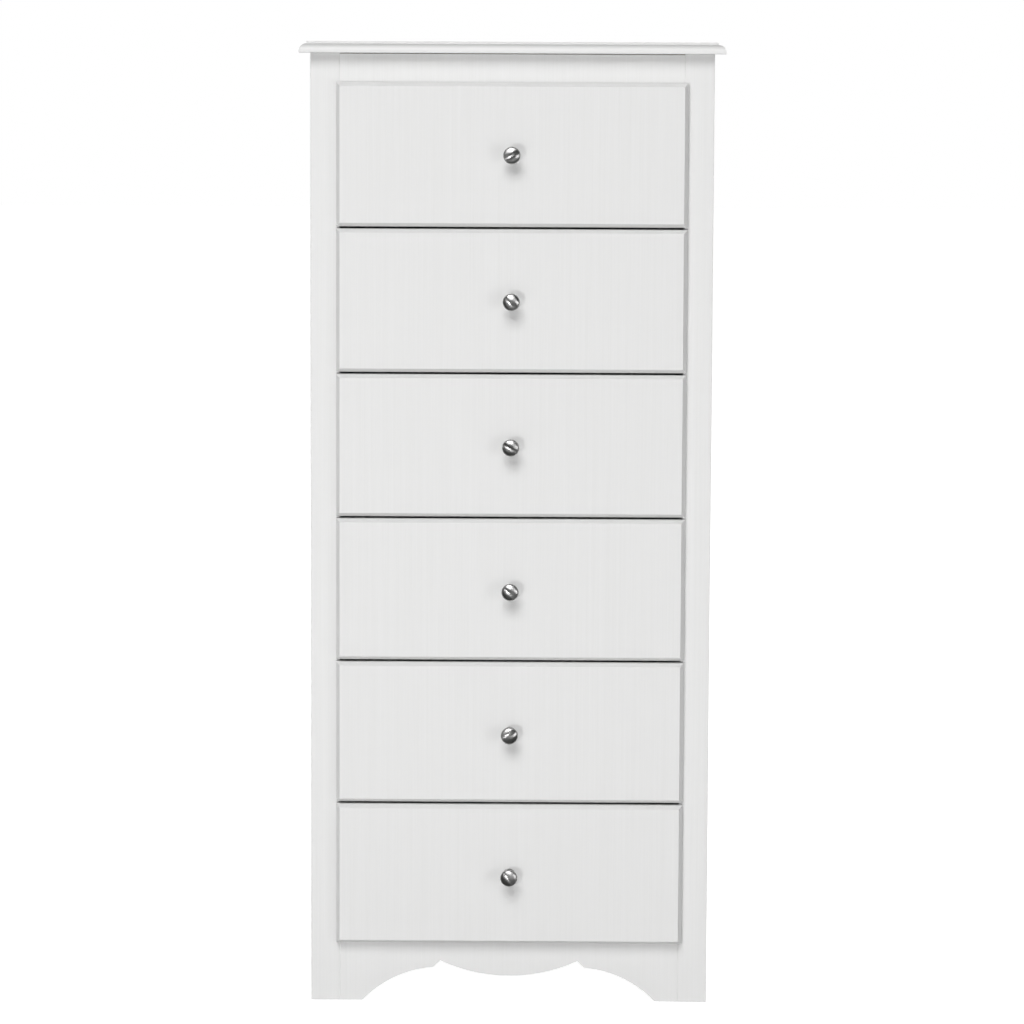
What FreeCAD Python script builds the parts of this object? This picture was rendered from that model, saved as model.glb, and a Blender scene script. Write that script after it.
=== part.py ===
import FreeCAD, Part
import math
import os

from FreeCAD import Vector

# A tall, straight-fronted chest of six equal drawers, made of faced particle board.
# Millimetres. +Z is up, +X is to the right when the chest is seen from the front, and the front
# faces -Y. The origin is on the floor, midway across the width and midway through the depth,
# knobs included.

# ---------------------------------------------------------------- driving dimensions
HEIGHT = 1350.0
TOP_WIDTH = 590.0               # 23 1/4 in
TOP_DEPTH = 406.0               # 16 in
BOARD = 16.0                    # 5/8 in particle board: top, sides, frame and drawer fronts
SIDE_OVERHANG = 15.5            # top board past each side panel
FRONT_OVERHANG = 18.0           # top board past the front frame
STILE_WIDTH = 40.5
BASE_HEIGHT = 85.0              # floor to the lowest drawer front
TOP_REVEAL = 40.0               # top rail showing above the highest drawer front
DRAWER_COUNT = 6
DRAWER_GAP = 3.0                # between neighbouring drawer fronts
OVERLAY = 4.5                   # drawer front lapping over the frame, on each edge
DRAWER_SETOFF = 0.5             # closed drawer front to the face of the frame
TRAVEL = 270.0                  # how far a drawer pulls out

# moulded edge of the top board: a lip, a quarter round above it, then a small step
LIP_HEIGHT = 2.3
OVOLO_RADIUS = 10.5
TOP_EDGE_EASE = 0.6
LIP_EASE = 1.2                  # lower corner of the lip

# edge of a drawer front
BEVEL_WIDTH = 5.0
BEVEL_DEPTH = 10.0
BEVEL_EASE = 0.8

# frame, back and base
FRAME_EASE = 0.7
TOP_RAIL_GAP = 0.8              # shadow line between the top rail and the top board
BACK_THICKNESS = 3.0
BACK_INSET = 4.0                # back panel's edge in from the outer face of a side
BACK_CLEAR_OF_FLOOR = 40.0
REAR_RAIL_HEIGHT = 53.0

# scalloped lower edge of the base rail, as distances from the middle and heights
FOOT_INNER_X = 207.0
SHOULDER = (106.5, 48.2)
PEAK = (97.0, 57.6)
LOBE_HEIGHT = 36.2
SIDE_ARC_RADIUS = 155.0

# drawer box
BOX_BOARD = 12.0
BOX_HEIGHT = 135.0
BOX_LENGTH = 350.0
BOX_RAISE = 20.0                # box's lower edge above the drawer front's lower edge
BOTTOM_THICKNESS = 3.0
BOTTOM_RAISE = 10.0             # groove for the bottom, above the box's lower edge
GROOVE_DEPTH = 5.0
GROOVE_PLAY = 0.2

# roller runners: steel strip, one member on the cabinet and one on the drawer, on each side
RUNNER_SPACE = 12.5             # frame opening to the drawer's side
STRIP = 1.2
RUNNER_LENGTH = 350.0
RUNNER_SETBACK = 1.5            # cabinet member behind the face of the frame
FOLD_RADIUS = 1.0
ROLLER_RADIUS = 9.0
ROLLER_WIDTH = 6.5
ROLLER_EASE = 0.6
ROLLER_PLAY = 0.3               # roller to the track it runs on
ROLLER_DISH_RADIUS = 7.0
ROLLER_DISH_DEPTH = 0.8
ROLLER_HUB_RADIUS = 4.8
ROLLER_ROOM = 4.0               # past the front roller, in the cabinet member's upper flange
AXLE_RADIUS = 2.5
AXLE_PLAY = 0.05                # radial, roller bore to axle
COLLAR_RADIUS = 3.6
COLLAR_LENGTH = 0.4             # keeps the roller off the strip
RIVET_HEAD_RADIUS = 4.2
RIVET_HEAD_LENGTH = 0.8
END_PLAY = 0.2
CHANNEL_FLOOR = -3.0            # running surface of the cabinet member, from the box's lower edge
CHANNEL_HEADROOM = 0.6          # above a drawer's roller
FLANGE_TIP_PLAY = 0.9           # cabinet member's flanges to the drawer member's web
TRACK_TIP_PLAY = 1.3            # drawer member's track to the cabinet member's web
DRAWER_TRACK_HEIGHT = 22.0      # top of the drawer member above the box's lower edge
FRONT_ROLLER_FROM_END = 16.0
REAR_ROLLER_FROM_END = 14.0
STOP_HEIGHT = 7.0
PACKING_HEIGHT = 50.0
PACKING_DROP = 12.0             # packing strip's lower edge under the box's lower edge

# knob, as (radius, distance from the drawer front)
KNOB_LENGTH = 28.0
KNOB_FOOT = (9.2, 1.2)
KNOB_NECK = (5.4, 9.6)
KNOB_HEAD_START = (8.0, 18.0)
KNOB_UNDER_HEAD = (11.2, 19.6)
KNOB_RIM = (12.0, 22.0)
KNOB_SHOULDER = (11.7, 23.8)
KNOB_FACE_EDGE = (10.4, 25.4)
SCREW_RADIUS = 2.0
SCREW_HOLE_RADIUS = 2.3
SCREW_ENTRY = 14.0              # depth of the screw inside the knob
SCREW_HEAD_RADIUS = 4.0
SCREW_HEAD_LENGTH = 2.6
SCREW_CROWN_RADIUS = 1.3
SCREW_SLOT = (5.0, 1.0, 1.4)    # length, width and depth of each slot of the cross

# ---------------------------------------------------------------- derived dimensions
BODY_HALF = TOP_WIDTH / 2 - SIDE_OVERHANG
OPENING_HALF = BODY_HALF - STILE_WIDTH
PANEL_INNER_X = BODY_HALF - BOARD
UNDER_TOP_Z = HEIGHT - BOARD

WHOLE_DEPTH = DRAWER_SETOFF + BOARD + KNOB_LENGTH + TOP_DEPTH - FRONT_OVERHANG
REAR_Y = WHOLE_DEPTH / 2
TOP_FRONT_Y = REAR_Y - TOP_DEPTH
FRAME_Y = TOP_FRONT_Y + FRONT_OVERHANG
FRAME_BACK_Y = FRAME_Y + BOARD
PANEL_REAR_Y = REAR_Y - BACK_THICKNESS

PITCH = (UNDER_TOP_Z - TOP_REVEAL - BASE_HEIGHT + DRAWER_GAP) / DRAWER_COUNT
FRONT_HEIGHT = PITCH - DRAWER_GAP
FRONT_HALF = OPENING_HALF + OVERLAY
FRONT_BACK_Y = FRAME_Y - DRAWER_SETOFF
FRONT_FACE_Y = FRONT_BACK_Y - BOARD

BOX_OUTER_X = OPENING_HALF - RUNNER_SPACE
BOX_INNER_X = BOX_OUTER_X - BOX_BOARD
BOX_REAR_Y = FRONT_BACK_Y + BOX_LENGTH
BOX_BACK_Y = BOX_REAR_Y - BOX_BOARD
BASE_RAIL_TOP = BASE_HEIGHT + OVERLAY
TOP_RAIL_BOTTOM = UNDER_TOP_Z - TOP_REVEAL - OVERLAY

RUNNER_FRONT_Y = FRAME_Y + RUNNER_SETBACK
FRONT_ROLLER_Y = RUNNER_FRONT_Y + FRONT_ROLLER_FROM_END
REAR_ROLLER_Y = BOX_REAR_Y - REAR_ROLLER_FROM_END
FRONT_ROLLER_RAISE = DRAWER_TRACK_HEIGHT - STRIP - ROLLER_PLAY - ROLLER_RADIUS
REAR_ROLLER_RAISE = CHANNEL_FLOOR + ROLLER_PLAY + ROLLER_RADIUS
CHANNEL_CEILING = REAR_ROLLER_RAISE + ROLLER_RADIUS + CHANNEL_HEADROOM
FLANGE_TIP_X = BOX_OUTER_X + STRIP + FLANGE_TIP_PLAY
TRACK_TIP_X = OPENING_HALF - STRIP - TRACK_TIP_PLAY
RUNNING_WIDTH = COLLAR_LENGTH + END_PLAY

TINY = 1e-6
WHOLE_TURN = 360.0
CUT_MARGIN = 1.0                # how far a cutting shape runs past what it cuts
ACROSS = Vector(1, 0, 0)
BACKWARDS = Vector(0, 1, 0)
UP = Vector(0, 0, 1)


# ---------------------------------------------------------------- shape helpers
def block(x, y, z):
    """A box between the low and high value of each axis."""
    return Part.makeBox(x[1] - x[0], y[1] - y[0], z[1] - z[0], Vector(x[0], y[0], z[0]))


def mirrored(shape):
    """The same piece for the other side of the chest."""
    return shape.mirror(Vector(0, 0, 0), ACROSS)


def left_and_right(*shapes):
    return Part.makeCompound([*shapes, *[mirrored(shape) for shape in shapes]])


def closed_face(points):
    return Part.Face(Part.makePolygon([*points, points[0]]))


def edges_on(shape, test):
    """The edges whose two ends both pass the test."""
    return [edge for edge in shape.Edges if all(test(v.Point) for v in edge.Vertexes)]


def at_y(value):
    return lambda point: abs(point.y - value) < TINY


def line(start, end):
    return Part.LineSegment(start, end).toShape()


def arc(start, middle, end):
    return Part.Arc(start, middle, end).toShape()


def turned(outline, place, axis):
    """A solid of revolution from an outline of edges."""
    return Part.Face(Part.Wire(outline)).revolve(place, axis, WHOLE_TURN)


def bent_strip(points, side):
    """Steel strip folded along the points, with its thickness to the left (1) or right (-1) of the way
    they run. The points are (x, z), and the strip lies along Y."""
    ahead = [Vector(x, 0, z) for x, z in points]
    facing = []
    for start, end in zip(ahead, ahead[1:]):
        way = (end - start).normalize()
        facing.append(Vector(-way.z, 0, way.x) * side * STRIP)
    far = [ahead[0] + facing[0]]
    for corner, before, after in zip(ahead[1:], facing, facing[1:]):
        far.append(corner + before + after)
    far.append(ahead[-1] + facing[-1])
    strip = closed_face([*ahead, *reversed(far)]).extrude(BACKWARDS * RUNNER_LENGTH)
    corners = []
    for near, beyond, before, after in zip(ahead[1:], far[1:], facing, facing[1:]):
        turns_left = after.cross(before).y > 0
        corners.append(near if turns_left == (side > 0) else beyond)

    def is_outer_fold(edge):
        place = edge.Vertexes[0].Point
        on_a_corner = any((place - corner).cross(BACKWARDS).Length < TINY for corner in corners)
        return on_a_corner and edge.Length > RUNNER_LENGTH - CUT_MARGIN

    return strip.makeFillet(FOLD_RADIUS, [edge for edge in strip.Edges if is_outer_fold(edge)])


# ---------------------------------------------------------------- cabinet
def top_board():
    """The front and both ends are moulded, with mitred corners. The back edge is square."""
    half = TOP_WIDTH / 2
    round_top = LIP_HEIGHT + OVOLO_RADIUS
    slant = OVOLO_RADIUS * (1 - math.sqrt(0.5))
    rise = LIP_HEIGHT + OVOLO_RADIUS * math.sqrt(0.5)

    lip_cut = LIP_EASE * (1 - math.sqrt(0.5))

    def moulding(place):
        """Edges from the underside of the tip to the top surface. place(inset, height) is a point."""
        return [
            arc(place(LIP_EASE, 0), place(lip_cut, lip_cut), place(0, LIP_EASE)),
            line(place(0, LIP_EASE), place(0, LIP_HEIGHT)),
            arc(place(0, LIP_HEIGHT), place(slant, rise), place(OVOLO_RADIUS, round_top)),
            line(place(OVOLO_RADIUS, round_top), place(OVOLO_RADIUS, BOARD)),
        ]

    def front(inset, height):
        return Vector(-half, TOP_FRONT_Y + inset, UNDER_TOP_Z + height)

    def right(inset, height):
        return Vector(half - inset, TOP_FRONT_Y, UNDER_TOP_Z + height)

    def left(inset, height):
        return Vector(inset - half, TOP_FRONT_Y, UNDER_TOP_Z + height)

    rear_top = front(TOP_DEPTH, BOARD)
    rear_bottom = front(TOP_DEPTH, 0)
    along = [
        *moulding(front),
        line(front(OVOLO_RADIUS, BOARD), rear_top),
        line(rear_top, rear_bottom),
        line(rear_bottom, front(LIP_EASE, 0)),
    ]
    deep = [
        *moulding(right),
        line(right(OVOLO_RADIUS, BOARD), left(OVOLO_RADIUS, BOARD)),
        *reversed(moulding(left)),
        line(left(LIP_EASE, 0), right(LIP_EASE, 0)),
    ]
    long_bar = Part.Face(Part.Wire(along)).extrude(ACROSS * TOP_WIDTH)
    wide_bar = Part.Face(Part.Wire(deep)).extrude(BACKWARDS * TOP_DEPTH)
    board = long_bar.common(wide_bar).Solids[0]

    def on_moulded_rim(point):
        near_front = point.y < TOP_FRONT_Y + OVOLO_RADIUS + CUT_MARGIN
        near_end = abs(point.x) > half - OVOLO_RADIUS - CUT_MARGIN
        return abs(point.z - HEIGHT) < TINY and (near_front or near_end)

    rim = [edge for edge in edges_on(board, on_moulded_rim) if not at_y(REAR_Y)(edge.CenterOfMass)]
    return board.makeFillet(TOP_EDGE_EASE, rim)


def side_panel():
    return block((PANEL_INNER_X, BODY_HALF), (FRAME_BACK_Y, PANEL_REAR_Y), (0, UNDER_TOP_Z))


def eased(board):
    """All the edges on the face of the frame are broken, so that the joints show as fine lines."""
    return board.makeChamfer(FRAME_EASE, edges_on(board, at_y(FRAME_Y)))


def front_stile():
    return eased(block((OPENING_HALF, BODY_HALF), (FRAME_Y, FRAME_BACK_Y), (0, UNDER_TOP_Z)))


def top_front_rail():
    tall = (TOP_RAIL_BOTTOM, UNDER_TOP_Z - TOP_RAIL_GAP)
    return eased(block((-OPENING_HALF, OPENING_HALF), (FRAME_Y, FRAME_BACK_Y), tall))


def arc_between(start, end, radius, bulge):
    """A circular arc in the XZ plane, bulging up (1) or down (-1)."""
    middle = (start + end) * 0.5
    half_chord = (end - start).Length / 2
    sagitta = radius - math.sqrt(radius ** 2 - half_chord ** 2)
    way = (end - start).normalize()
    normal = Vector(-way.z, 0, way.x)
    if normal.z * bulge < 0:
        normal = normal * -1
    return arc(start, middle + normal * sagitta, end)


def scalloped_base_rail():
    """A foot at each end, a rising side arc, a short step, and one hanging lobe in the middle."""

    def place(x, z):
        return Vector(x, FRAME_Y, z)

    peak_x, peak_z = PEAK
    right_half = [
        line(place(OPENING_HALF, BASE_RAIL_TOP), place(OPENING_HALF, 0)),
        line(place(OPENING_HALF, 0), place(FOOT_INNER_X, 0)),
        arc_between(place(FOOT_INNER_X, 0), place(*SHOULDER), SIDE_ARC_RADIUS, 1),
        line(place(*SHOULDER), place(*PEAK)),
    ]
    lobe = arc(place(peak_x, peak_z), place(0, LOBE_HEIGHT), place(-peak_x, peak_z))
    top = line(place(-OPENING_HALF, BASE_RAIL_TOP), place(OPENING_HALF, BASE_RAIL_TOP))
    edges = [*right_half, lobe, *[mirrored(edge) for edge in reversed(right_half)], top]
    outline = Part.Wire(Part.sortEdges(edges)[0])
    rail = Part.Face(outline).extrude(BACKWARDS * BOARD)

    def at_an_end(point):
        return abs(point.y - FRAME_Y) < TINY and abs(abs(point.x) - OPENING_HALF) < TINY

    ends = [edge for edge in edges_on(rail, at_an_end) if abs(edge.Length - BASE_RAIL_TOP) < TINY]
    return rail.makeChamfer(FRAME_EASE, ends)


def bottom_panel():
    return block(
        (-PANEL_INNER_X, PANEL_INNER_X),
        (FRAME_BACK_Y, PANEL_REAR_Y),
        (BASE_RAIL_TOP - BOARD, BASE_RAIL_TOP),
    )


def back_panel():
    half = BODY_HALF - BACK_INSET
    return block((-half, half), (PANEL_REAR_Y, REAR_Y), (BACK_CLEAR_OF_FLOOR, UNDER_TOP_Z))


def rear_rails():
    """One under the top board and one under the bottom panel, both against the back panel."""
    across = (-PANEL_INNER_X, PANEL_INNER_X)
    deep = (PANEL_REAR_Y - BOARD, PANEL_REAR_Y)
    lower_top = BASE_RAIL_TOP - BOARD
    upper = block(across, deep, (UNDER_TOP_Z - REAR_RAIL_HEIGHT, UNDER_TOP_Z))
    lower = block(across, deep, (lower_top - REAR_RAIL_HEIGHT, lower_top))
    return Part.makeCompound([upper, lower])


# ---------------------------------------------------------------- places of drawer number n, 1 at the top
def front_bottom(number):
    return BASE_HEIGHT + (DRAWER_COUNT - number) * PITCH


def box_bottom(number):
    return front_bottom(number) + BOX_RAISE


# ---------------------------------------------------------------- runners
def runner_packing_strips():
    """Bring the runners out level with the frame opening: one on each side for each drawer."""
    strips = []
    for number in range(1, DRAWER_COUNT + 1):
        low = box_bottom(number) - PACKING_DROP
        strips.append(
            block(
                (OPENING_HALF, PANEL_INNER_X),
                (FRAME_BACK_Y, RUNNER_FRONT_Y + RUNNER_LENGTH),
                (low, low + PACKING_HEIGHT),
            )
        )
    return left_and_right(*strips)


def roller_axle(web_x, way, y, z):
    """A rivet with a collar at the strip and a head past the roller. way is the side it stands on."""
    lengths = [COLLAR_LENGTH, ROLLER_WIDTH + 2 * END_PLAY, RIVET_HEAD_LENGTH]
    radii = [COLLAR_RADIUS, AXLE_RADIUS, RIVET_HEAD_RADIUS]
    start = Vector(web_x, y, z)
    axle = None
    for length, radius in zip(lengths, radii):
        step = Part.makeCylinder(radius, length, start, ACROSS * way)
        axle = step if axle is None else axle.fuse(step)
        start = start + ACROSS * way * length
    return axle


def roller(web_x, way, y, z):
    """A nylon roller with eased rims and a dished face."""
    near = web_x + way * RUNNING_WIDTH
    centre = Vector(near, y, z)
    wheel = Part.makeCylinder(ROLLER_RADIUS, ROLLER_WIDTH, centre, ACROSS * way)
    wheel = wheel.makeChamfer(ROLLER_EASE, [e for e in wheel.Edges if e.Closed])
    outer_face = centre + ACROSS * way * ROLLER_WIDTH
    dish = Part.makeCylinder(ROLLER_DISH_RADIUS, ROLLER_DISH_DEPTH, outer_face, ACROSS * -way)
    hub = Part.makeCylinder(ROLLER_HUB_RADIUS, ROLLER_DISH_DEPTH, outer_face, ACROSS * -way)
    bore = Part.makeCylinder(AXLE_RADIUS + AXLE_PLAY, ROLLER_WIDTH, centre, ACROSS * way)
    return wheel.cut(dish.cut(hub)).cut(bore)


def cabinet_member(base_z):
    """An open channel. Its upper flange is cut back to clear the front roller, and a tab near the front
    stops the drawer's rear roller."""
    low = base_z + CHANNEL_FLOOR - STRIP
    high = base_z + CHANNEL_CEILING + STRIP
    path = [(FLANGE_TIP_X, low), (OPENING_HALF, low), (OPENING_HALF, high), (FLANGE_TIP_X, high)]
    channel = bent_strip(path, 1)
    channel.translate(BACKWARDS * RUNNER_FRONT_Y)
    notch = block(
        (FLANGE_TIP_X - CUT_MARGIN, OPENING_HALF - STRIP),
        (RUNNER_FRONT_Y - CUT_MARGIN, FRONT_ROLLER_Y + ROLLER_RADIUS + ROLLER_ROOM),
        (base_z + CHANNEL_CEILING - CUT_MARGIN, high + CUT_MARGIN),
    )
    reach = math.sqrt(ROLLER_RADIUS ** 2 - (ROLLER_RADIUS + ROLLER_PLAY - STOP_HEIGHT) ** 2)
    stop_y = REAR_ROLLER_Y - TRAVEL - reach - ROLLER_PLAY
    floor = base_z + CHANNEL_FLOOR
    stop = block(
        (FLANGE_TIP_X + STRIP, OPENING_HALF - STRIP),
        (stop_y - STRIP, stop_y),
        (floor, floor + STOP_HEIGHT),
    )
    return channel.cut(notch).fuse(stop)


def cabinet_runners():
    pieces = []
    for number in range(1, DRAWER_COUNT + 1):
        base_z = box_bottom(number)
        axle = roller_axle(OPENING_HALF - STRIP, -1, FRONT_ROLLER_Y, base_z + FRONT_ROLLER_RAISE)
        pieces.append(cabinet_member(base_z).fuse(axle).Solids[0])
    return left_and_right(*pieces)


def cabinet_rollers(number):
    z = box_bottom(number) + FRONT_ROLLER_RAISE
    return left_and_right(roller(OPENING_HALF - STRIP, -1, FRONT_ROLLER_Y, z))


def drawer_runners(number):
    """A strip under the box side, up its outer face, and out as the track that the front roller carries."""
    base_z = box_bottom(number)
    path = [
        (BOX_INNER_X, base_z),
        (BOX_OUTER_X, base_z),
        (BOX_OUTER_X, base_z + DRAWER_TRACK_HEIGHT),
        (TRACK_TIP_X, base_z + DRAWER_TRACK_HEIGHT),
    ]
    member = bent_strip(path, -1)
    member.translate(BACKWARDS * FRONT_BACK_Y)
    axle = roller_axle(BOX_OUTER_X + STRIP, 1, REAR_ROLLER_Y, base_z + REAR_ROLLER_RAISE)
    return left_and_right(member.fuse(axle).Solids[0])


def drawer_rollers(number):
    z = box_bottom(number) + REAR_ROLLER_RAISE
    return left_and_right(roller(BOX_OUTER_X + STRIP, 1, REAR_ROLLER_Y, z))


# ---------------------------------------------------------------- drawers
def bottom_groove(number):
    """The room that the drawer bottom takes in the front, sides and back."""
    low = box_bottom(number) + BOTTOM_RAISE
    half = BOX_INNER_X + GROOVE_DEPTH + GROOVE_PLAY
    return block(
        (-half, half),
        (FRONT_BACK_Y - GROOVE_DEPTH - GROOVE_PLAY, BOX_BACK_Y + GROOVE_DEPTH + GROOVE_PLAY),
        (low, low + BOTTOM_THICKNESS + GROOVE_PLAY),
    )


def drawer_front(number):
    """Bevelled on all four edges, with mitred corners."""
    low = front_bottom(number)
    high = low + FRONT_HEIGHT
    shoulder_y = FRONT_FACE_Y + BEVEL_DEPTH
    upright = closed_face([
        Vector(-FRONT_HALF, FRONT_BACK_Y, low),
        Vector(-FRONT_HALF, FRONT_BACK_Y, high),
        Vector(-FRONT_HALF, shoulder_y, high),
        Vector(-FRONT_HALF, FRONT_FACE_Y, high - BEVEL_WIDTH),
        Vector(-FRONT_HALF, FRONT_FACE_Y, low + BEVEL_WIDTH),
        Vector(-FRONT_HALF, shoulder_y, low),
    ]).extrude(ACROSS * 2 * FRONT_HALF)
    level = closed_face([
        Vector(-FRONT_HALF, FRONT_BACK_Y, low),
        Vector(FRONT_HALF, FRONT_BACK_Y, low),
        Vector(FRONT_HALF, shoulder_y, low),
        Vector(FRONT_HALF - BEVEL_WIDTH, FRONT_FACE_Y, low),
        Vector(BEVEL_WIDTH - FRONT_HALF, FRONT_FACE_Y, low),
        Vector(-FRONT_HALF, shoulder_y, low),
    ]).extrude(UP * FRONT_HEIGHT)
    board = upright.common(level).Solids[0]
    board = board.makeFillet(BEVEL_EASE, edges_on(board, at_y(FRONT_FACE_Y)))
    middle = Vector(0, FRONT_FACE_Y - CUT_MARGIN, low + FRONT_HEIGHT / 2)
    screw_hole = Part.makeCylinder(SCREW_HOLE_RADIUS, BOARD + 2 * CUT_MARGIN, middle, BACKWARDS)
    return board.cut(screw_hole).cut(bottom_groove(number))


def drawer_sides(number):
    low = box_bottom(number)
    side = block((BOX_INNER_X, BOX_OUTER_X), (FRONT_BACK_Y, BOX_REAR_Y), (low, low + BOX_HEIGHT))
    return left_and_right(side.cut(bottom_groove(number)))


def drawer_back(number):
    low = box_bottom(number)
    back = block((-BOX_INNER_X, BOX_INNER_X), (BOX_BACK_Y, BOX_REAR_Y), (low, low + BOX_HEIGHT))
    return back.cut(bottom_groove(number))


def drawer_bottom(number):
    low = box_bottom(number) + BOTTOM_RAISE
    half = BOX_INNER_X + GROOVE_DEPTH
    return block(
        (-half, half),
        (FRONT_BACK_Y - GROOVE_DEPTH, BOX_BACK_Y + GROOVE_DEPTH),
        (low, low + BOTTOM_THICKNESS),
    )


def knob(z):
    """A turned knob: a small foot, a waisted neck and a slightly domed head."""

    def place(radius, out):
        return Vector(radius, FRONT_FACE_Y - out, z)

    face_radius, face_out = KNOB_FACE_EDGE
    dome = KNOB_LENGTH - face_out
    dome_radius = (face_radius ** 2 + dome ** 2) / (2 * dome)
    half_way = face_radius / 2
    half_way_out = KNOB_LENGTH - dome_radius + math.sqrt(dome_radius ** 2 - half_way ** 2)
    foot_radius, foot_edge = KNOB_FOOT
    outline = [
        line(place(SCREW_RADIUS, SCREW_ENTRY), place(SCREW_RADIUS, 0)),
        line(place(SCREW_RADIUS, 0), place(foot_radius, 0)),
        line(place(foot_radius, 0), place(foot_radius, foot_edge)),
        arc(place(foot_radius, foot_edge), place(*KNOB_NECK), place(*KNOB_HEAD_START)),
        arc(place(*KNOB_HEAD_START), place(*KNOB_UNDER_HEAD), place(*KNOB_RIM)),
        arc(place(*KNOB_RIM), place(*KNOB_SHOULDER), place(*KNOB_FACE_EDGE)),
        arc(place(*KNOB_FACE_EDGE), place(half_way, half_way_out), place(0, KNOB_LENGTH)),
        line(place(0, KNOB_LENGTH), place(0, SCREW_ENTRY)),
        line(place(0, SCREW_ENTRY), place(SCREW_RADIUS, SCREW_ENTRY)),
    ]
    return turned(outline, Vector(0, 0, z), BACKWARDS)


def knob_screw(z):
    """A pan-head machine screw, put in from inside the drawer."""
    tip = Vector(0, FRONT_FACE_Y - SCREW_ENTRY, z)
    seat = Vector(0, FRONT_BACK_Y, z)
    shank = Part.makeCylinder(SCREW_RADIUS, SCREW_ENTRY + BOARD, tip, BACKWARDS)
    head = Part.makeCylinder(SCREW_HEAD_RADIUS, SCREW_HEAD_LENGTH, seat, BACKWARDS)
    crown = [e for e in head.Edges if e.Closed and at_y(seat.y + SCREW_HEAD_LENGTH)(e.CenterOfMass)]
    head = head.makeFillet(SCREW_CROWN_RADIUS, crown)
    screw = shank.fuse(head)
    length, width, depth = SCREW_SLOT
    crown_y = seat.y + SCREW_HEAD_LENGTH
    for across, tall in ((length, width), (width, length)):
        slot = block(
            (-across / 2, across / 2),
            (crown_y - depth, crown_y + CUT_MARGIN),
            (z - tall / 2, z + tall / 2),
        )
        screw = screw.cut(slot)
    return screw


def drawer_knob(number):
    z = front_bottom(number) + FRONT_HEIGHT / 2
    return Part.makeCompound([knob(z), knob_screw(z)])


# ---------------------------------------------------------------- every node, by name
def cabinet_nodes():
    return {
        "top_board": top_board(),
        "right_side_panel": side_panel(),
        "left_side_panel": mirrored(side_panel()),
        "right_front_stile": front_stile(),
        "left_front_stile": mirrored(front_stile()),
        "top_front_rail": top_front_rail(),
        "scalloped_base_rail": scalloped_base_rail(),
        "bottom_panel": bottom_panel(),
        "back_panel": back_panel(),
        "rear_rails": rear_rails(),
        "runner_packing_strips": runner_packing_strips(),
        "cabinet_runners": cabinet_runners(),
    }


def drawer_nodes(number):
    return {
        f"cabinet_rollers_{number}": cabinet_rollers(number),
        f"drawer_{number}_front": drawer_front(number),
        f"drawer_{number}_sides": drawer_sides(number),
        f"drawer_{number}_back": drawer_back(number),
        f"drawer_{number}_bottom": drawer_bottom(number),
        f"drawer_{number}_knob": drawer_knob(number),
        f"drawer_{number}_runners": drawer_runners(number),
        f"drawer_{number}_rollers": drawer_rollers(number),
    }


def write_parts():
    os.makedirs("parts", exist_ok=True)
    nodes = cabinet_nodes()
    for number in range(1, DRAWER_COUNT + 1):
        nodes.update(drawer_nodes(number))
    for name, shape in nodes.items():
        if not shape.isValid():
            raise ValueError(f"{name} is not a valid shape")
        shape.exportStep(f"parts/{name}.step")
        print(name, len(shape.Solids), round(shape.Volume))


write_parts()
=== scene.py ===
"""A tall chest of six drawers in white laminate, with bevelled fronts and brushed-nickel knobs."""
import math

import bmesh
import bpy
from mathutils import Euler, Matrix, Vector


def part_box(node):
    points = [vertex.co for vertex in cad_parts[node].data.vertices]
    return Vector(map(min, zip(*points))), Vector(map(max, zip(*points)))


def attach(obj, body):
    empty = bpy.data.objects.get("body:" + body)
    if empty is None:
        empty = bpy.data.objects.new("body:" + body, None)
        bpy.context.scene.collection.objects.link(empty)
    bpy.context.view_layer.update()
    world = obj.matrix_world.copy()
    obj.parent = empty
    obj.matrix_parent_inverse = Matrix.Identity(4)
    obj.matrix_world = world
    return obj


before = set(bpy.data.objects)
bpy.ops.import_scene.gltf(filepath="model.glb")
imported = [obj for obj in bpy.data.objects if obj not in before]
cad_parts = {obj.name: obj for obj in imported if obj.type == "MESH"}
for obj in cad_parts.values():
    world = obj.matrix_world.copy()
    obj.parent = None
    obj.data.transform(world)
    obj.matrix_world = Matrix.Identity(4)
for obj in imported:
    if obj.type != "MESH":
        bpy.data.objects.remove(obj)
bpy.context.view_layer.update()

# ------------------------------------------------------------------ sizes, in metres
MM = 0.001
RIGHT = Vector((1, 0, 0))
LEFT = Vector((-1, 0, 0))
BACKWARD = Vector((0, 1, 0))
DOWN = Vector((0, 0, -1))
WHOLE_TURN = 2 * math.pi
RAREST_SPECKS = 0.76      # noise above this is a speck of dust

DRAWERS = range(1, 1 + sum(name.endswith("_front") and name.startswith("drawer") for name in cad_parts))
FLOOR_Z = 0.0
FRAME_FACE_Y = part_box("left_front_stile")[0].y


# ------------------------------------------------------------------ shader nodes
def wire(tree, kind, inputs=None, **settings):
    """Adds a node. Each input is a plain value, or the output that feeds it."""
    node = tree.nodes.new(kind)
    for name, value in settings.items():
        setattr(node, name, value)
    for name, value in (inputs or {}).items():
        if isinstance(value, bpy.types.NodeSocket):
            tree.links.new(value, node.inputs[name])
        else:
            node.inputs[name].default_value = value
    return node


def math_node(tree, operation, *values, clamp=False):
    node = wire(tree, "ShaderNodeMath", dict(enumerate(values)), operation=operation, use_clamp=clamp)
    return node.outputs[0]


def vector_node(tree, operation, *values):
    node = wire(tree, "ShaderNodeVectorMath", dict(enumerate(values)), operation=operation)
    return node.outputs["Value" if operation in ("DOT_PRODUCT", "LENGTH") else "Vector"]


def noise(tree, vector, scale, detail=3.0, roughness=0.55):
    inputs = {"Vector": vector, "Scale": scale, "Detail": detail, "Roughness": roughness}
    return wire(tree, "ShaderNodeTexNoise", inputs).outputs["Fac"]


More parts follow.
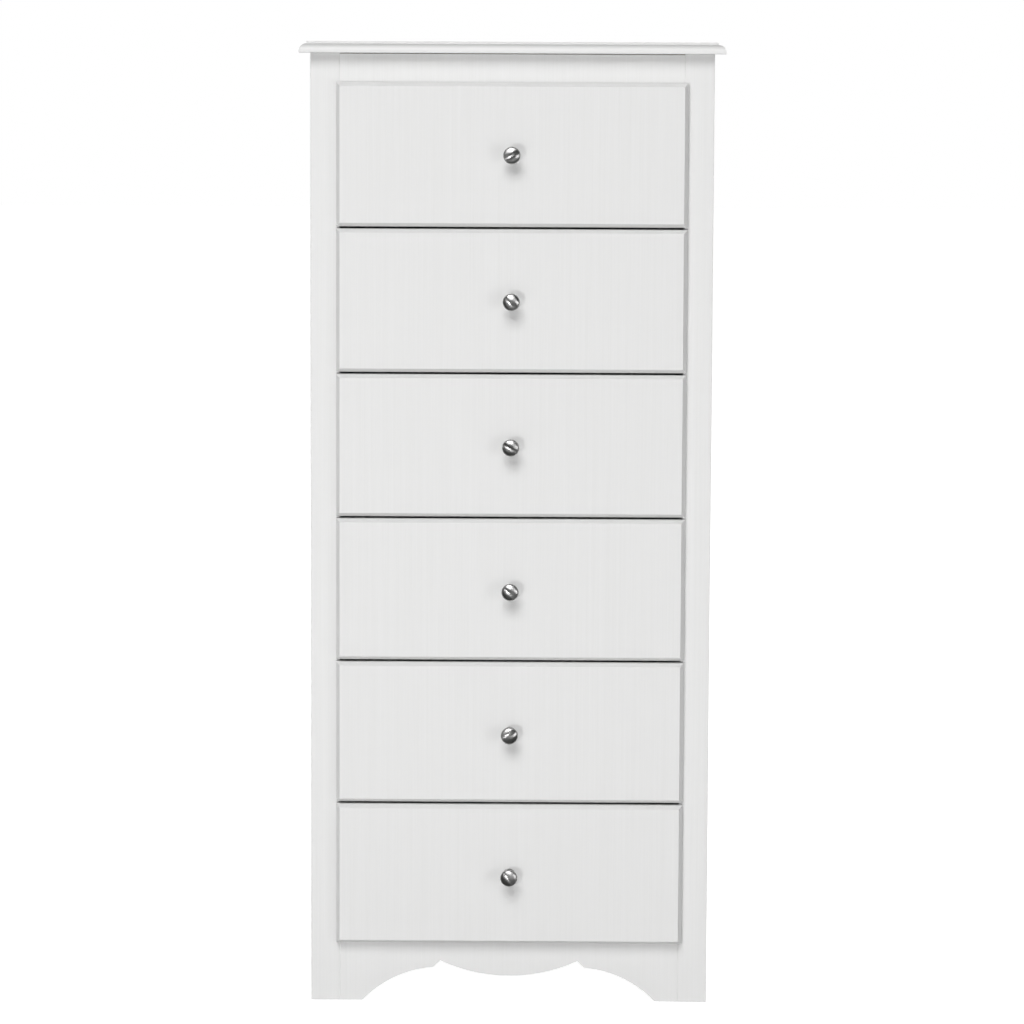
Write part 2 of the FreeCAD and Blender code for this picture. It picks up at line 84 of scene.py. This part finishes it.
def mix_colour(tree, share, first, second):
    node = wire(tree, "ShaderNodeMix", data_type="RGBA")
    for socket, value in ((node.inputs[0], share), (node.inputs[6], first), (node.inputs[7], second)):
        if isinstance(value, bpy.types.NodeSocket):
            tree.links.new(value, socket)
        else:
            socket.default_value = value
    return node.outputs[2]


def spread(tree, value, low, high):
    """Maps 0 to 1 onto low to high."""
    node = wire(tree, "ShaderNodeMapRange", {"Value": value, "To Min": low, "To Max": high})
    return node.outputs["Result"]


def object_place(tree):
    return wire(tree, "ShaderNodeTexCoord").outputs["Object"]


def grey(value):
    return (value, value, value, 1.0)


def shader_group(name, inputs, outputs):
    """A node group with its sockets. Returns the tree and its input and output nodes."""
    tree = bpy.data.node_groups.new(name, "ShaderNodeTree")
    kinds = {float: "NodeSocketFloat", tuple: "NodeSocketVector"}
    for label, value in inputs.items():
        socket = tree.interface.new_socket(label, in_out="INPUT", socket_type=kinds[type(value)])
        socket.default_value = value
    for label in outputs:
        tree.interface.new_socket(label, in_out="OUTPUT", socket_type="NodeSocketFloat")
    return tree, tree.nodes.new("NodeGroupInput").outputs, tree.nodes.new("NodeGroupOutput").inputs


def place_group(tree, group, **inputs):
    """Places a group in a material, with its own values."""
    node = tree.nodes.new("ShaderNodeGroup")
    node.node_tree = group
    for name, value in inputs.items():
        node.inputs[name.replace("_", " ").title()].default_value = value
    return node.outputs


def straight_grain_group():
    """Long straight grain pressed into a laminate. Frequency is the number of cycles in a metre along each
    axis, so the grain runs along the axis with the small one."""
    tree, given, made = shader_group(
        "straight grain", {"Frequency": (700.0, 700.0, 5.0), "Pore Share": 0.5}, ["Tone", "Height"]
    )
    place = object_place(tree)
    stretched = vector_node(tree, "MULTIPLY", place, given["Frequency"])
    bands = noise(tree, stretched, 0.35, detail=2.0)
    lines = noise(tree, stretched, 1.0, detail=4.0, roughness=0.7)
    pores = noise(tree, vector_node(tree, "MULTIPLY", stretched, (2.3, 2.3, 2.3)), 1.0, detail=1.0)
    dark_pores = math_node(tree, "SUBTRACT", 0.42, pores, clamp=True)
    cut = math_node(tree, "MULTIPLY", dark_pores, given["Pore Share"])
    wide_share = math_node(tree, "MULTIPLY", bands, 0.4)
    blend = math_node(tree, "ADD", wide_share, math_node(tree, "MULTIPLY", lines, 0.6))
    height = math_node(tree, "SUBTRACT", blend, math_node(tree, "MULTIPLY", cut, 2.0))
    tree.links.new(blend, made["Tone"])
    tree.links.new(height, made["Height"])
    return tree


def edge_rub_group():
    """Where corners have been rubbed: 1 on the sharpest edges, broken up along their length."""
    tree, given, made = shader_group("edge rub", {"Reach": 0.001, "Breaks": 60.0}, ["Mask"])
    rounded = wire(tree, "ShaderNodeBevel", {"Radius": given["Reach"]}, samples=4).outputs["Normal"]
    flat = wire(tree, "ShaderNodeNewGeometry").outputs["Normal"]
    turned_away = math_node(tree, "SUBTRACT", 1.0, vector_node(tree, "DOT_PRODUCT", rounded, flat))
    near_edge = math_node(tree, "MULTIPLY", turned_away, 6.0, clamp=True)
    place = object_place(tree)
    broken = spread(tree, noise(tree, place, given["Breaks"], detail=4.0), -0.6, 1.6)
    tree.links.new(math_node(tree, "MULTIPLY", near_edge, broken, clamp=True), made["Mask"])
    return tree


def handling_group():
    """Soft cloudy variation from wiping and handling, with finer specks of dust in it."""
    inputs = {"Cloud Size": 0.12, "Speck Size": 0.0015}
    tree, given, made = shader_group("handling", inputs, ["Cloud", "Specks"])
    place = object_place(tree)
    clouds = noise(tree, place, math_node(tree, "DIVIDE", 1.0, given["Cloud Size"]), detail=4.0)
    specks = noise(tree, place, math_node(tree, "DIVIDE", 1.0, given["Speck Size"]), detail=1.0)
    tree.links.new(clouds, made["Cloud"])
    tree.links.new(math_node(tree, "GREATER_THAN", specks, RAREST_SPECKS), made["Specks"])
    return tree


def brushed_lines_group():
    """Fine parallel scratches in the XZ plane, at an angle from level."""
    tree, given, made = shader_group("brushed lines", {"Angle": 0.0, "Fineness": 9000.0}, ["Tone", "Height"])
    place = object_place(tree)
    turned_place = wire(
        tree, "ShaderNodeVectorRotate", {"Vector": place, "Angle": given["Angle"]}, rotation_type="Y_AXIS"
    ).outputs["Vector"]
    stretched = vector_node(tree, "MULTIPLY", turned_place, (0.02, 0.3, 1.0))
    lines = noise(tree, stretched, given["Fineness"], detail=3.0, roughness=0.75)
    tree.links.new(lines, made["Tone"])
    tree.links.new(lines, made["Height"])
    return tree


def wood_chip_group():
    """Pressed chips of mixed tone, as in unfaced particle board."""
    tree, given, made = shader_group("wood chips", {"Chip Size": 0.0025}, ["Tone", "Height"])
    place = object_place(tree)
    scale = math_node(tree, "DIVIDE", 1.0, given["Chip Size"])
    chips = wire(tree, "ShaderNodeTexVoronoi", {"Vector": place, "Scale": scale, "Randomness": 1.0})
    tone = wire(tree, "ShaderNodeSeparateColor", {0: chips.outputs["Color"]}).outputs[0]
    tree.links.new(tone, made["Tone"])
    tree.links.new(chips.outputs["Distance"], made["Height"])
    return tree


def nail_row_group():
    """Round nail heads in two straight rows, one on each side of the middle."""
    tree, given, made = shader_group(
        "nail rows", {"Across": 0.0, "Along": 0.0, "Pitch": 0.1, "Row": 0.2, "Radius": 0.003}, ["Mask"]
    )
    off_row = math_node(tree, "SUBTRACT", math_node(tree, "ABSOLUTE", given["Across"]), given["Row"])
    steps = math_node(tree, "FRACT", math_node(tree, "DIVIDE", given["Along"], given["Pitch"]))
    off_nail = math_node(tree, "MULTIPLY", math_node(tree, "SUBTRACT", steps, 0.5), given["Pitch"])
    row_square = math_node(tree, "POWER", off_row, 2.0)
    squares = math_node(tree, "ADD", row_square, math_node(tree, "POWER", off_nail, 2.0))
    inside = math_node(tree, "LESS_THAN", math_node(tree, "SQRT", squares), given["Radius"])
    tree.links.new(inside, made["Mask"])
    return tree


GRAIN = straight_grain_group()
EDGE_RUB = edge_rub_group()
HANDLING = handling_group()
BRUSHED = brushed_lines_group()
CHIPS = wood_chip_group()
NAILS = nail_row_group()


# ------------------------------------------------------------------ materials
def new_material(name):
    """An empty material: its node tree, its shader and the material itself."""
    material = bpy.data.materials.new(name)
    material.use_nodes = True
    tree = material.node_tree
    return material, tree, tree.nodes["Principled BSDF"]


def feed(tree, shader, **sockets):
    """Sets or links the shader's sockets. base_color stands for Base Color, and so on."""
    names = {"base_color": "Base Color", "ior": "IOR"}
    for name, value in sockets.items():
        socket = shader.inputs[names.get(name, name.replace("_", " ").title())]
        if isinstance(value, bpy.types.NodeSocket):
            tree.links.new(value, socket)
        else:
            socket.default_value = value


def raised(tree, height, distance):
    return wire(tree, "ShaderNodeBump", {"Height": height, "Distance": distance}).outputs[0]


def tinted(tree, mask, most, surface, tint):
    """Lays a tint over the surface: the share called most where the mask is 1, and none where it is 0."""
    return mix_colour(tree, math_node(tree, "MULTIPLY", mask, most), surface, tint)


def white_laminate(name, frequency, raw_side=None):
    """White laminate with a faint straight grain pressed in, satin, a little rubbed on its corners.
    The edge that faces raw_side is left unfaced."""
    material, tree, shader = new_material(name)
    grain = place_group(tree, GRAIN, frequency=frequency, pore_share=0.5)
    rub = place_group(tree, EDGE_RUB, reach=0.0008, breaks=45.0)
    handled = place_group(tree, HANDLING, cloud_size=0.16, speck_size=0.0012)
    in_grain = mix_colour(tree, grain["Tone"], LAMINATE_IN_GRAIN, LAMINATE_BETWEEN)
    clouded = tinted(tree, handled["Cloud"], 0.05, in_grain, (0.74, 0.73, 0.70, 1))
    rubbed = tinted(tree, rub["Mask"], 0.22, clouded, (0.66, 0.65, 0.62, 1))
    surface = tinted(tree, handled["Specks"], 0.04, rubbed, (0.55, 0.53, 0.50, 1))
    wiped = spread(tree, handled["Cloud"], 0.36, 0.46)
    satin = math_node(tree, "ADD", wiped, spread(tree, grain["Tone"], -0.03, 0.03))
    if raw_side:
        normal = wire(tree, "ShaderNodeTexCoord").outputs["Normal"]
        raw = math_node(tree, "GREATER_THAN", vector_node(tree, "DOT_PRODUCT", normal, tuple(raw_side)), 0.7)
        chips = place_group(tree, CHIPS, chip_size=0.0022)
        unfaced = mix_colour(tree, chips["Tone"], (0.36, 0.23, 0.125, 1), PALE_CHIP)
        surface = mix_colour(tree, raw, surface, unfaced)
        satin = math_node(tree, "ADD", satin, math_node(tree, "MULTIPLY", raw, 0.35))
    pressed = raised(tree, grain["Height"], 0.00012)
    feed(tree, shader, base_color=surface, roughness=satin, normal=pressed, ior=1.46)
    return material


def drawer_box_foil():
    """Smooth white foil wrapped round the boards of a drawer box, slightly warm."""
    material, tree, shader = new_material("drawer box foil")
    rub = place_group(tree, EDGE_RUB, reach=0.0010, breaks=80.0)
    handled = place_group(tree, HANDLING, cloud_size=0.07, speck_size=0.0018)
    clouded = tinted(tree, handled["Cloud"], 0.10, (0.78, 0.775, 0.75, 1), (0.66, 0.65, 0.60, 1))
    rubbed = tinted(tree, rub["Mask"], 0.35, clouded, (0.52, 0.45, 0.36, 1))
    peel = noise(tree, object_place(tree), 900.0, detail=2.0)
    satin = spread(tree, handled["Cloud"], 0.42, 0.55)
    feed(tree, shader, base_color=rubbed, roughness=satin, normal=raised(tree, peel, 0.00004))
    return material


def hardboard(name, raw_side, nailed=False):
    """Thin hardboard: white paint on one face, and a brown woven-screen face on the raw side."""
    material, tree, shader = new_material(name)
    coordinates = wire(tree, "ShaderNodeTexCoord").outputs
    facing = vector_node(tree, "DOT_PRODUCT", coordinates["Normal"], tuple(raw_side))
    raw = math_node(tree, "GREATER_THAN", facing, 0.5)
    handled = place_group(tree, HANDLING, cloud_size=0.20, speck_size=0.0020)
    fibres = noise(tree, coordinates["Object"], 420.0, detail=6.0, roughness=0.7)
    brown = mix_colour(tree, fibres, (0.135, 0.068, 0.032, 1), (0.30, 0.175, 0.090, 1))
    aged = tinted(tree, handled["Cloud"], 0.45, brown, (0.23, 0.135, 0.075, 1))
    paint = tinted(tree, handled["Cloud"], 0.12, (0.77, 0.77, 0.75, 1), (0.66, 0.65, 0.61, 1))
    parts = wire(tree, "ShaderNodeSeparateXYZ", {0: coordinates["Object"]}).outputs
    across = math_node(tree, "SINE", math_node(tree, "MULTIPLY", parts["X"], SCREEN_PITCH))
    other = math_node(tree, "ADD", parts["Z"], parts["Y"])
    along = math_node(tree, "SINE", math_node(tree, "MULTIPLY", other, SCREEN_PITCH))
    screen = math_node(tree, "MULTIPLY", math_node(tree, "MULTIPLY", across, along), raw)
    woven = math_node(tree, "MULTIPLY", screen, 0.6)
    relief = math_node(tree, "ADD", woven, math_node(tree, "MULTIPLY", fibres, 0.4))
    surface = mix_colour(tree, raw, paint, aged)
    if nailed:
        nail = math_node(tree, "MULTIPLY", nails_round_the_back(tree, parts), raw)
        surface = mix_colour(tree, nail, surface, (0.42, 0.42, 0.42, 1))
        relief = math_node(tree, "SUBTRACT", relief, math_node(tree, "MULTIPLY", nail, 0.8))
        feed(tree, shader, metallic=nail)
    rougher = math_node(tree, "MULTIPLY", raw, 0.32)
    dull = math_node(tree, "ADD", rougher, spread(tree, fibres, 0.45, 0.58))
    feed(tree, shader, base_color=surface, roughness=dull, normal=raised(tree, relief, 0.00025))
    return material


def nails_round_the_back(tree, parts):
    """1 on the flat heads of the nails driven flush round the edge of the back panel."""
    low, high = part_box("back_panel")
    middle = (low + high) / 2
    reach = (high - low) / 2
    uprights = place_group(tree, NAILS, pitch=NAIL_PITCH, row=reach.x - NAIL_INSET, radius=NAIL_RADIUS)
    rows = place_group(tree, NAILS, pitch=NAIL_PITCH, row=reach.z - NAIL_INSET, radius=NAIL_RADIUS)
    from_middle = math_node(tree, "SUBTRACT", parts["Z"], middle.z)
    for placed, across, along in ((uprights, parts["X"], from_middle), (rows, from_middle, parts["X"])):
        node = placed["Mask"].node
        tree.links.new(across, node.inputs["Across"])
        tree.links.new(along, node.inputs["Along"])
    return math_node(tree, "MAXIMUM", uprights["Mask"], rows["Mask"])


def raw_particle_board():
    """Unfaced particle board, with its chips showing."""
    material, tree, shader = new_material("raw particle board")
    chips = place_group(tree, CHIPS, chip_size=0.0022)
    handled = place_group(tree, HANDLING, cloud_size=0.05, speck_size=0.0015)
    pressed = mix_colour(tree, chips["Tone"], (0.34, 0.215, 0.115, 1), PALE_CHIP)
    aged = tinted(tree, handled["Cloud"], 0.35, pressed, (0.42, 0.29, 0.175, 1))
    dull = spread(tree, chips["Tone"], 0.72, 0.9)
    feed(tree, shader, base_color=aged, roughness=dull, normal=raised(tree, chips["Height"], 0.0003))
    return material


def brushed_nickel(name, angle):
    """Satin nickel plate, brushed one way across the face. angle is that of the brushing, from level."""
    material, tree, shader = new_material(name)
    lines = place_group(tree, BRUSHED, angle=angle, fineness=9000.0)
    handled = place_group(tree, HANDLING, cloud_size=0.012, speck_size=0.0006)
    rub = place_group(tree, EDGE_RUB, reach=0.0006, breaks=300.0)
    plate = mix_colour(tree, lines["Tone"], (0.32, 0.319, 0.316, 1), (0.56, 0.558, 0.554, 1))
    rubbed = tinted(tree, rub["Mask"], 0.5, plate, (0.76, 0.757, 0.75, 1))
    handled_satin = spread(tree, handled["Cloud"], -0.03, 0.05)
    satin = math_node(tree, "ADD", spread(tree, lines["Tone"], 0.24, 0.32), handled_satin)
    brushed = raised(tree, lines["Height"], 0.00002)
    feed(tree, shader, base_color=rubbed, metallic=1.0, roughness=satin, normal=brushed, anisotropic=0.88)
    across = {"X": -math.sin(angle), "Y": 0.0, "Z": math.cos(angle)}
    tree.links.new(wire(tree, "ShaderNodeCombineXYZ", across).outputs[0], shader.inputs["Tangent"])
    return material


def zinc_plate():
    """Bright zinc plating on screws and nails."""
    material, tree, shader = new_material("zinc plate")
    handled = place_group(tree, HANDLING, cloud_size=0.004, speck_size=0.0005)
    rub = place_group(tree, EDGE_RUB, reach=0.0004, breaks=400.0)
    plate = mix_colour(tree, handled["Cloud"], (0.50, 0.51, 0.52, 1), (0.68, 0.68, 0.66, 1))
    rubbed = tinted(tree, rub["Mask"], 0.6, plate, grey(0.80))
    feed(tree, shader, base_color=rubbed, metallic=1.0, roughness=spread(tree, handled["Cloud"], 0.26, 0.45))
    return material


def coated_steel():
    """White epoxy powder on folded steel, with a fine orange peel and bare metal at rubbed corners."""
    material, tree, shader = new_material("epoxy-coated steel")
    handled = place_group(tree, HANDLING, cloud_size=0.05, speck_size=0.0008)
    rub = place_group(tree, EDGE_RUB, reach=0.0005, breaks=120.0)
    peel = noise(tree, object_place(tree), 1400.0, detail=2.0)
    coat = tinted(tree, handled["Cloud"], 0.15, (0.76, 0.76, 0.73, 1), (0.62, 0.61, 0.57, 1))
    rubbed = tinted(tree, rub["Mask"], 0.6, coat, grey(0.40))
    satin = spread(tree, peel, 0.26, 0.42)
    feed(tree, shader, base_color=rubbed, roughness=satin, normal=raised(tree, peel, 0.00005))
    return material


def nylon():
    """Natural nylon, slightly translucent, with faint turning marks."""
    material, tree, shader = new_material("nylon")
    handled = place_group(tree, HANDLING, cloud_size=0.006, speck_size=0.0006)
    body = mix_colour(tree, handled["Cloud"], (0.74, 0.73, 0.69, 1), (0.84, 0.83, 0.79, 1))
    satin = spread(tree, handled["Cloud"], 0.35, 0.5)
    feed(tree, shader, base_color=body, roughness=satin, normal=raised(tree, handled["Cloud"], 0.00006))
    feed(tree, shader, subsurface_weight=0.2, subsurface_scale=0.002)
    return material


def cam_plastic():
    """Matt white moulded plastic of the cam covers."""
    material, tree, shader = new_material("cam cover plastic")
    handled = place_group(tree, HANDLING, cloud_size=0.010, speck_size=0.0005)
    texture = noise(tree, object_place(tree), 3000.0, detail=2.0)
    body = mix_colour(tree, handled["Cloud"], grey(0.70), grey(0.78))
    matt = spread(tree, texture, 0.45, 0.6)
    feed(tree, shader, base_color=body, roughness=matt, normal=raised(tree, texture, 0.00002))
    return material


LAMINATE_IN_GRAIN = (0.744, 0.744, 0.736, 1)
LAMINATE_BETWEEN = grey(0.836)
PALE_CHIP = (0.62, 0.46, 0.29, 1)
SCREEN_PITCH = WHOLE_TURN / 0.0016      # radians in a metre, for a screen of 1.6 mm
NAIL_PITCH = 0.104
NAIL_INSET = 0.006
NAIL_RADIUS = 0.0028
UPRIGHT = (800.0, 800.0, 6.0)
LENGTHWISE = (6.0, 800.0, 800.0)
KNOB_BRUSHING = [-60, 40, 60, 45, -55, 35]      # degrees from level, from the top drawer down
BOARD_EASE = 0.4 * MM
FOIL_EASE = 0.6 * MM
ROUNDED_FROM = math.radians(50)      # corners sharper than this are rounded

LAMINATE_UPRIGHT = white_laminate("white laminate, upright grain", UPRIGHT)
LAMINATE_SIDE = white_laminate("white laminate, side panels", UPRIGHT, raw_side=BACKWARD)
LAMINATE_LENGTHWISE = white_laminate("white laminate, lengthwise grain", LENGTHWISE, raw_side=BACKWARD)
FOIL = drawer_box_foil()
BACK_BOARD = hardboard("hardboard back", BACKWARD, nailed=True)
BOTTOM_BOARD = hardboard("hardboard drawer bottom", DOWN)
PARTICLE_BOARD = raw_particle_board()
ZINC = zinc_plate()
STEEL = coated_steel()
NYLON = nylon()
CAM_PLASTIC = cam_plastic()


# ------------------------------------------------------------------ the boards and metalwork from the frame
def finish_node(name, material, ease=None):
    """Gives a node its material. ease rounds its sharp corners by that much."""
    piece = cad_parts[name]
    for holder in piece.material_slots:
        holder.material = material
    if ease:
        piece.modifiers.new("close corners", "WELD").merge_threshold = 0.01 * MM
        rounding = piece.modifiers.new("eased corners", "BEVEL")
        rounding.width = ease
        rounding.segments = 2
        rounding.limit_method = "ANGLE"
        rounding.angle_limit = ROUNDED_FROM
        rounding.harden_normals = True


def finish_cabinet():
    for name in ("left_side_panel", "right_side_panel"):
        finish_node(name, LAMINATE_SIDE, BOARD_EASE)
    for name in ("left_front_stile", "right_front_stile", "top_front_rail", "scalloped_base_rail"):
        finish_node(name, LAMINATE_UPRIGHT)
    finish_node("top_board", LAMINATE_LENGTHWISE)
    finish_node("bottom_panel", LAMINATE_LENGTHWISE, BOARD_EASE)
    finish_node("back_panel", BACK_BOARD, BOARD_EASE)
    for name in ("rear_rails", "runner_packing_strips"):
        finish_node(name, PARTICLE_BOARD, BOARD_EASE)
    finish_node("cabinet_runners", STEEL)


def finish_drawer(number):
    finish_node(f"drawer_{number}_front", LAMINATE_UPRIGHT)
    finish_node(f"drawer_{number}_sides", FOIL, FOIL_EASE)
    finish_node(f"drawer_{number}_back", FOIL, FOIL_EASE)
    finish_node(f"drawer_{number}_bottom", BOTTOM_BOARD)
    angle = math.radians(KNOB_BRUSHING[number - 1])
    finish_node(f"drawer_{number}_knob", brushed_nickel(f"brushed nickel, knob {number}", angle))
    finish_node(f"drawer_{number}_runners", STEEL)
    finish_node(f"drawer_{number}_rollers", NYLON)
    finish_node(f"cabinet_rollers_{number}", NYLON)


finish_cabinet()
for drawer in DRAWERS:
    finish_drawer(drawer)


# ------------------------------------------------------------------ screws and cam fittings
def ring_of(mesh, points, height):
    return [mesh.verts.new((x, y, height)) for x, y in points]


def circle(radius, count=28):
    turns = [WHOLE_TURN * step / count for step in range(count)]
    return [(radius * math.cos(turn), radius * math.sin(turn)) for turn in turns]


def cross(arm, half_width):
    quarter = [(arm, -half_width), (arm, half_width), (half_width, half_width)]
    turns = [Matrix.Rotation(WHOLE_TURN * step / 4, 2) for step in range(4)]
    return [tuple(turn @ Vector(point)) for turn in turns for point in quarter]


def close_between(mesh, low, high):
    for here, there in zip(range(len(low)), [*range(1, len(low)), 0]):
        mesh.faces.new((low[here], low[there], high[there], high[here]))


def edges_round(mesh, loop):
    return [mesh.edges.get(pair) for pair in zip(loop, [*loop[1:], loop[0]])]


# Shares of a head's radius and of its height.
HEAD_PROFILE = [(1.0, 0.0), (1.0, 0.35), (0.93, 0.72), (0.80, 0.93), (0.66, 1.0)]


def driven_head(radius, height, arm, recess):
    """A round head with a cross recess, standing on the XY plane and facing +Z."""
    mesh = bmesh.new()
    rings = [ring_of(mesh, circle(radius * out), height * up) for out, up in HEAD_PROFILE]
    for low, high in zip(rings, rings[1:]):
        close_between(mesh, low, high)
    mouth = ring_of(mesh, cross(arm, arm * 0.24), height)
    floor = ring_of(mesh, cross(arm * 0.72, arm * 0.17), height - recess)
    close_between(mesh, floor, mouth)
    mesh.faces.new(floor)
    round_the_top = edges_round(mesh, rings[-1]) + edges_round(mesh, mouth)
    bmesh.ops.triangle_fill(mesh, use_beauty=True, edges=round_the_top)
    bmesh.ops.recalc_face_normals(mesh, faces=mesh.faces)
    return mesh


def fit_heads(name, head, spots, material, body):
    """Joins one head for each spot, which is (place, the way it faces, how far it is turned)."""
    joined = bpy.data.meshes.new(name)
    gathered = bmesh.new()
    for place, facing, turn in spots:
        one = bpy.data.meshes.new("one head")
        head.to_mesh(one)
        aim = facing.to_track_quat("Z", "Y").to_matrix().to_4x4()
        one.transform(Matrix.Translation(place) @ aim @ Matrix.Rotation(turn, 4, "Z"))
        gathered.from_mesh(one)
        bpy.data.meshes.remove(one)
    gathered.to_mesh(joined)
    joined.materials.append(material)
    for face in joined.polygons:
        face.use_smooth = False
    piece = bpy.data.objects.new(name, joined)
    bpy.context.scene.collection.objects.link(piece)
    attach(piece, body)


def both_sides(x, y, z, inward):
    """The same place on the right and the left. The first faces -X if inward, else +X."""
    way = LEFT if inward else RIGHT
    return [(Vector((x, y, z)), way), (Vector((-x, y, z)), -way)]


def turned_about(spots):
    """Each head stops at a different angle, as driven screws do."""
    return [(place, facing, math.radians(step * 37 % 90)) for step, (place, facing) in enumerate(spots)]


RUNNER_STEEL = 1.2 * MM
RUNNER_SCREW_PLACES = [38 * MM, 166 * MM, 310 * MM]     # behind the front end of the runner
RUNNER_SCREW_UP = 6.4 * MM          # above the underside of the drawer box
JOINT_HEIGHTS = [42 * MM, 108 * MM]     # above the underside of the drawer box
CAM_SETBACK = 24 * MM               # behind the front end of the box sides
SCREW_HEAD = driven_head(3.3 * MM, 1.4 * MM, 1.9 * MM, 1.0 * MM)
CAM_HEAD = driven_head(7.4 * MM, 0.5 * MM, 3.4 * MM, 0.4 * MM)


def cabinet_runner_screws():
    low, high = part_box("cabinet_runners")
    spots = []
    for number in DRAWERS:
        box_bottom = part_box(f"drawer_{number}_sides")[0].z
        for back in RUNNER_SCREW_PLACES:
            spots += both_sides(high.x - RUNNER_STEEL, low.y + back, box_bottom + RUNNER_SCREW_UP, inward=True)
    fit_heads("cabinet_runner_screws", SCREW_HEAD, turned_about(spots), ZINC, "cabinet")


def drawer_fittings(number):
    low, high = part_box(f"drawer_{number}_sides")
    back_low, back_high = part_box(f"drawer_{number}_back")
    side_middle = (high.x + back_high.x) / 2
    body = f"drawer_{number}"
    under = [
        (Vector((x, low.y + back, low.z - RUNNER_STEEL)), DOWN)
        for back in RUNNER_SCREW_PLACES
        for x in (side_middle, -side_middle)
    ]
    fit_heads(f"drawer_{number}_runner_screws", SCREW_HEAD, turned_about(under), ZINC, body)
    corner = []
    cams = []
    for up in JOINT_HEIGHTS:
        corner += both_sides(high.x, (back_low.y + back_high.y) / 2, low.z + up, inward=False)
        cams += both_sides(back_high.x, low.y + CAM_SETBACK, low.z + up, inward=True)
    fit_heads(f"drawer_{number}_corner_screws", SCREW_HEAD, turned_about(corner), ZINC, body)
    fit_heads(f"drawer_{number}_cams", CAM_HEAD, turned_about(cams), CAM_PLASTIC, body)


cabinet_runner_screws()
for drawer in DRAWERS:
    drawer_fittings(drawer)


# ------------------------------------------------------------------ floor, light and camera
def plain_floor():
    mesh = bpy.data.meshes.new("floor")
    corners = [(x * FLOOR_REACH, y * FLOOR_REACH, FLOOR_Z) for x, y in ((-1, -1), (1, -1), (1, 1), (-1, 1))]
    mesh.from_pydata(corners, [], [(0, 1, 2, 3)])
    floor = bpy.data.objects.new("floor", mesh)
    bpy.context.scene.collection.objects.link(floor)
    material, tree, shader = new_material("pale floor")
    tone = spread(tree, noise(tree, object_place(tree), 3.0), FLOOR_TONE - 0.01, FLOOR_TONE + 0.01)
    pale = wire(tree, "ShaderNodeCombineColor", {0: tone, 1: tone, 2: tone}).outputs[0]
    rays = wire(tree, "ShaderNodeLightPath").outputs
    glow = mix_colour(tree, rays["Is Camera Ray"], grey(0.0), grey(FLOOR_GLOW))
    surface = mix_colour(tree, rays["Is Glossy Ray"], pale, grey(FLOOR_IN_METAL))
    feed(tree, shader, base_color=surface, roughness=0.9, emission_color=glow, emission_strength=1.0)
    mesh.materials.append(material)


def soft_box(name, place, aim, width, height, power):
    light = bpy.data.lights.new(name, "AREA")
    light.shape = "RECTANGLE"
    light.size = width
    light.size_y = height
    light.energy = power
    holder = bpy.data.objects.new(name, light)
    holder.location = place
    holder.rotation_euler = (Vector(aim) - Vector(place)).to_track_quat("-Z", "Y").to_euler()
    bpy.context.scene.collection.objects.link(holder)


def studio():
    """A large soft box high in front, weaker ones low in front and to both sides, and two behind it all that
    light the sides and the back."""
    world = bpy.data.worlds.new("studio")
    bpy.context.scene.world = world
    world.use_nodes = True
    tree = world.node_tree
    tree.nodes.clear()
    seen = wire(tree, "ShaderNodeLightPath").outputs["Is Camera Ray"]
    strength = spread(tree, seen, ROOM_LIGHT, BACKDROP)
    room = wire(tree, "ShaderNodeBackground", {"Color": grey(1.0), "Strength": strength})
    wire(tree, "ShaderNodeOutputWorld", {"Surface": room.outputs[0]})
    for name, place, aim, width, height, power in SOFT_BOXES:
        soft_box(name, place, aim, width, height, power)


def front_camera():
    lens = bpy.data.cameras.new("front view")
    lens.sensor_width = 36.0
    lens.lens = FOCAL_LENGTH
    camera = bpy.data.objects.new("front view", lens)
    camera.location = (CAMERA_ASIDE, FRAME_FACE_Y - CAMERA_AWAY, CAMERA_HEIGHT)
    level = Euler((math.pi / 2 - CAMERA_TILT_DOWN, 0, -CAMERA_TURN_RIGHT)).to_matrix()
    camera.rotation_euler = (level @ Matrix.Rotation(CAMERA_ROLL, 3, "Z")).to_euler()
    bpy.context.scene.collection.objects.link(camera)
    bpy.context.scene.camera = camera


BACKDROP = 1.0            # how bright the room looks behind the chest
ROOM_LIGHT = 0.03         # how much light the room itself gives
FLOOR_REACH = 30.0
FLOOR_TONE = 0.61
FLOOR_GLOW = 1.0
FLOOR_IN_METAL = 0.08     # the floor's tone as polished metal reflects it
MIDDLE = (0.0, 0.0, 0.7)
FOOT = (0.0, FRAME_FACE_Y, 0.25)
SOFT_BOXES = [            # name, place, aim, width, height, power in watts
    ("key", (-1.2, -7.2, 7.2), MIDDLE, 5.6, 4.8, 603.0),
    ("floor strip", (0.0, -1.6, 0.12), FOOT, 1.8, 0.2, 1.2),
    ("left", (-2.6, -4.0, 0.75), MIDDLE, 1.2, 1.4, 5.0),
    ("right", (3.2, -3.6, 0.75), MIDDLE, 1.2, 1.4, 28.0),
    ("low front", (-1.6, -5.2, 0.15), MIDDLE, 0.8, 0.5, 64.0),
    ("behind, left", (-4.2, 3.4, 2.4), MIDDLE, 2.0, 2.0, 120.0),
    ("behind, right", (4.2, 3.4, 2.4), MIDDLE, 2.0, 2.0, 120.0),
]
FOCAL_LENGTH = 145.6      # millimetres, on a 36 mm sensor
CAMERA_AWAY = 5.755       # from the face of the front frame
CAMERA_HEIGHT = 1.335
CAMERA_ASIDE = 0.0477
CAMERA_TILT_DOWN = math.radians(6.327)
CAMERA_TURN_RIGHT = math.radians(-0.455)
CAMERA_ROLL = math.radians(0.251)

bpy.context.scene.view_settings.view_transform = "Standard"
plain_floor()
studio()
front_camera()
